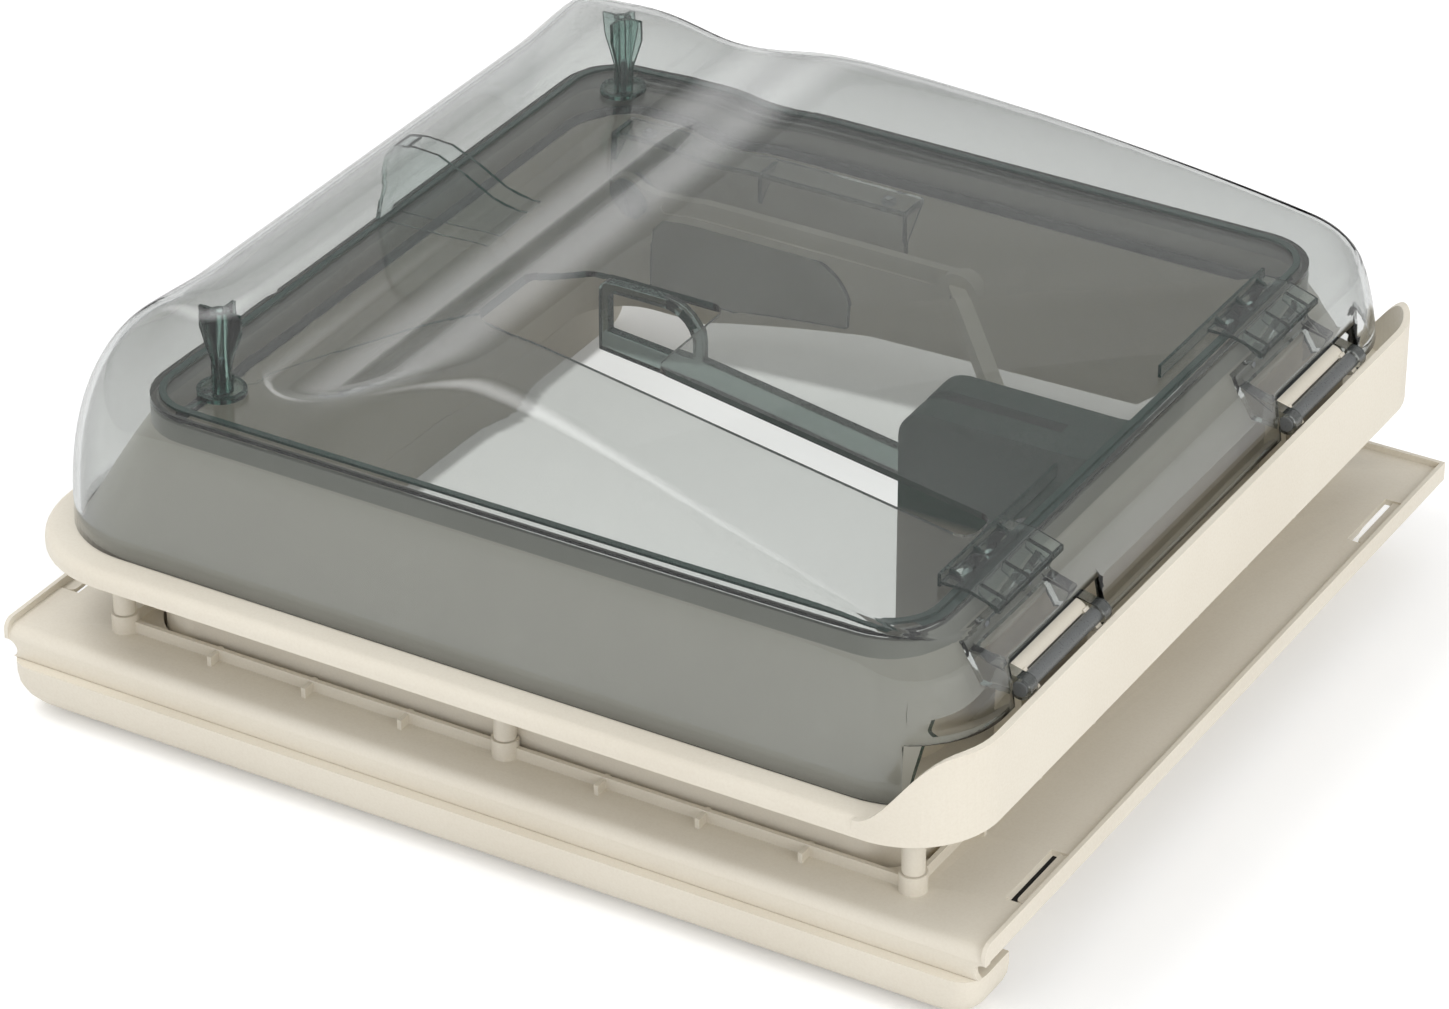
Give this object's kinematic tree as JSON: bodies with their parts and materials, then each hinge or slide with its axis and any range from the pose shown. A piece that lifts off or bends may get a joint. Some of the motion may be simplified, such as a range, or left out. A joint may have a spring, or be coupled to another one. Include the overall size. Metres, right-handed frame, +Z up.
{
  "type": "caravan roof vent",
  "caption": "Square caravan roof vent with a wave-shaped clear outer dome over a smoked inner pane, hinged on a cream roof frame, with a sliding stay, a pull lever and a lower clamping frame.",
  "frame": {"origin": "bottom centre of the whole vent, on the underside of the trim frame", "axes": "+X to the hinge side, +Y to the rear side with the stay, +Z up out of the roof"},
  "size_m": [0.479, 0.4526, 0.1974],
  "materials": {
    "clear_acrylic": "clear polished acrylic",
    "smoked_acrylic": "grey smoked acrylic",
    "grey_plastic": "dark grey moulded plastic",
    "steel": "zinc-plated steel",
    "rubber": "black sealing rubber",
    "cream_plastic": "cream moulded plastic, satin"
  },
  "bodies": {
    "frame": {"upper_frame": "cream_plastic", "hinge_block_front": "cream_plastic", "hinge_block_rear": "cream_plastic", "block_screws": "steel", "dome_seal": "rubber", "roof_seal": "rubber", "lever_housing": "cream_plastic", "housing_cover": "cream_plastic", "housing_screws": "steel", "lever_pin": "steel", "stay_brace": "cream_plastic", "stay_pivot": "steel", "lower_frame": "cream_plastic", "clamp_screws": "steel", "trim_frame": "cream_plastic"},
    "dome": {"outer_dome": "clear_acrylic", "inner_dome": "smoked_acrylic", "spacer_post_front": "clear_acrylic", "spacer_post_rear": "clear_acrylic", "post_screws": "steel", "lip_spacer": "clear_acrylic", "rim_bracket_front": "clear_acrylic", "rim_bracket_rear": "clear_acrylic", "hinge_leaf_front": "smoked_acrylic", "hinge_leaf_rear": "smoked_acrylic", "hinge_rod_front": "grey_plastic", "hinge_rod_rear": "grey_plastic", "leaf_rivets": "steel", "guide_rail": "smoked_acrylic", "rail_screws": "steel"},
    "stay": {"stay_arm": "cream_plastic", "stay_grip": "smoked_acrylic", "stay_screw": "steel"},
    "lever": {"operating_lever": "clear_acrylic"}
  },
  "joints": [
    {"name": "dome_hinge", "type": "hinge", "parent": "frame", "child": "dome", "pos_m": [0.2192, 0, 0.1235], "axis": [0, 1, 0], "range_deg": [0, 50]},
    {"name": "stay_pivot", "type": "hinge", "parent": "frame", "child": "stay", "pos_m": [0.0461, 0.119, 0.1235], "axis": [0, 1, 0], "range_deg": [0, 100]},
    {"name": "lever_pivot", "type": "hinge", "parent": "frame", "child": "lever", "pos_m": [0.15, 0, 0.092], "axis": [0, 1, 0], "range_deg": [0, 60]}
  ],
  "couplings": [
    {"joint": "stay_pivot", "follows": "dome_hinge", "ratio": 2},
    {"joint": "lever_pivot", "follows": "dome_hinge", "ratio": 1.2}
  ]
}
